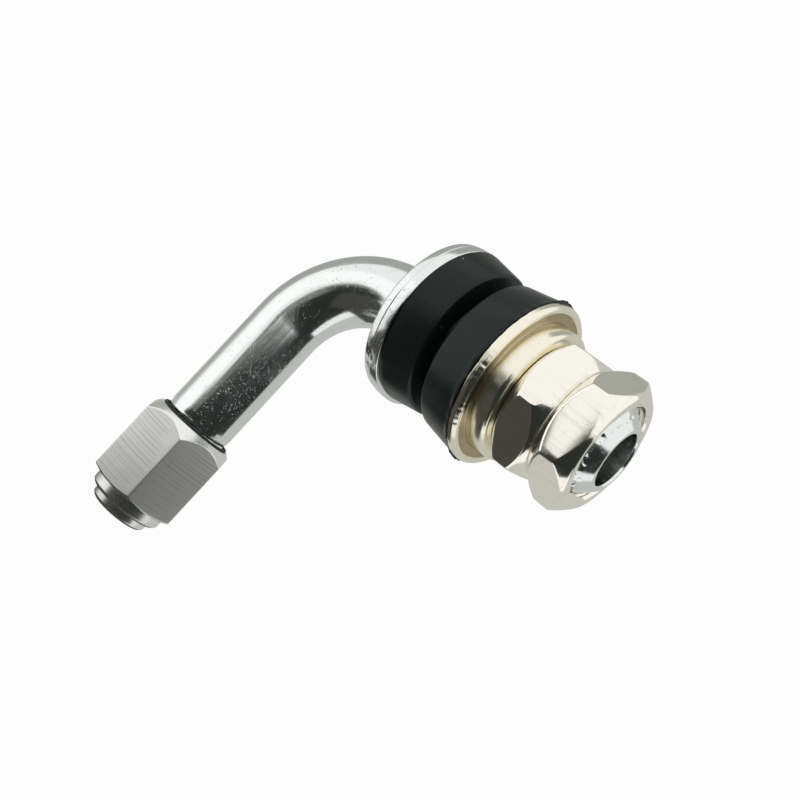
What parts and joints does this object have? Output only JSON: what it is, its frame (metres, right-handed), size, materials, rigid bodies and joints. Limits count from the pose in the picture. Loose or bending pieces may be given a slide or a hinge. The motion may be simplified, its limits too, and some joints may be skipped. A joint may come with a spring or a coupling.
{
  "type": "tyre valve",
  "caption": "Right-angle clamp-in tyre valve: a bent chromed stem with flange, rubber grommet, hat washer, jam nuts, dust cap and a sprung valve core.",
  "frame": {"origin": "centre of the grommet's rim groove, on the nut leg's axis", "axes": "+Z along the nut leg towards the nuts, +X along the cap leg towards the cap"},
  "size_m": [0.0467, 0.0188, 0.0437],
  "materials": {
    "stem_chrome": "bright chrome plate with fine scratches",
    "grommet_rubber": "moulded, semi-matt",
    "washer_nickel": "polished warm nickel plate",
    "nut_nickel": "polished warm nickel plate",
    "cap_metal": "satin, with fine cutter lines across the flats",
    "seal_rubber": "matt",
    "core_brass": "turned",
    "gasket_red": "matt",
    "spring_steel": "drawn wire"
  },
  "bodies": {
    "stem": {"bent_stem": "stem_chrome", "grommet": "grommet_rubber", "core_head": "core_brass", "core_barrel": "core_brass", "core_gasket": "gasket_red", "core_spring": "spring_steel"},
    "washer": {"flange_washer": "washer_nickel"},
    "inner_nut": {"inner_nut": "nut_nickel"},
    "lock_nut": {"lock_nut": "nut_nickel"},
    "cap_seals": {"cap_seal": "seal_rubber", "cap_o_ring": "seal_rubber"},
    "cap": {"cap": "cap_metal"},
    "pin": {"core_pin": "core_brass", "core_cup": "core_brass", "core_seat_seal": "seal_rubber"}
  },
  "joints": [
    {"name": "washer_travel", "type": "slide", "parent": "stem", "child": "washer", "axis": [0, 0, 1], "range_m": [0, 0.0099]},
    {"name": "nut_turn", "type": "hinge", "parent": "washer", "child": "inner_nut", "pos_m": [0, 0, 0.0105], "axis": [0, 0, 1], "range_deg": [0, 3565]},
    {"name": "lock_nut_travel", "type": "slide", "parent": "inner_nut", "child": "lock_nut", "axis": [0, 0, 1], "range_m": [0, 0.0059]},
    {"name": "cap_travel", "type": "slide", "parent": "stem", "child": "cap_seals", "axis": [1, 0, 0], "range_m": [0, 0.0099]},
    {"name": "cap_turn", "type": "hinge", "parent": "cap_seals", "child": "cap", "pos_m": [0.03, 0, -0.01985], "axis": [1, 0, 0], "range_deg": [0, 4491]},
    {"name": "pin_press", "type": "slide", "parent": "stem", "child": "pin", "axis": [-1, 0, 0], "range_m": [0, 0.0016], "stiffness_N_per_m": 1500, "springref_m": -0.0015, "deforming": ["core_spring"]}
  ],
  "couplings": [
    {"joint": "nut_turn", "follows": "washer_travel", "rad_per_m": 6283.2},
    {"joint": "cap_turn", "follows": "cap_travel", "rad_per_m": 7915.8}
  ]
}
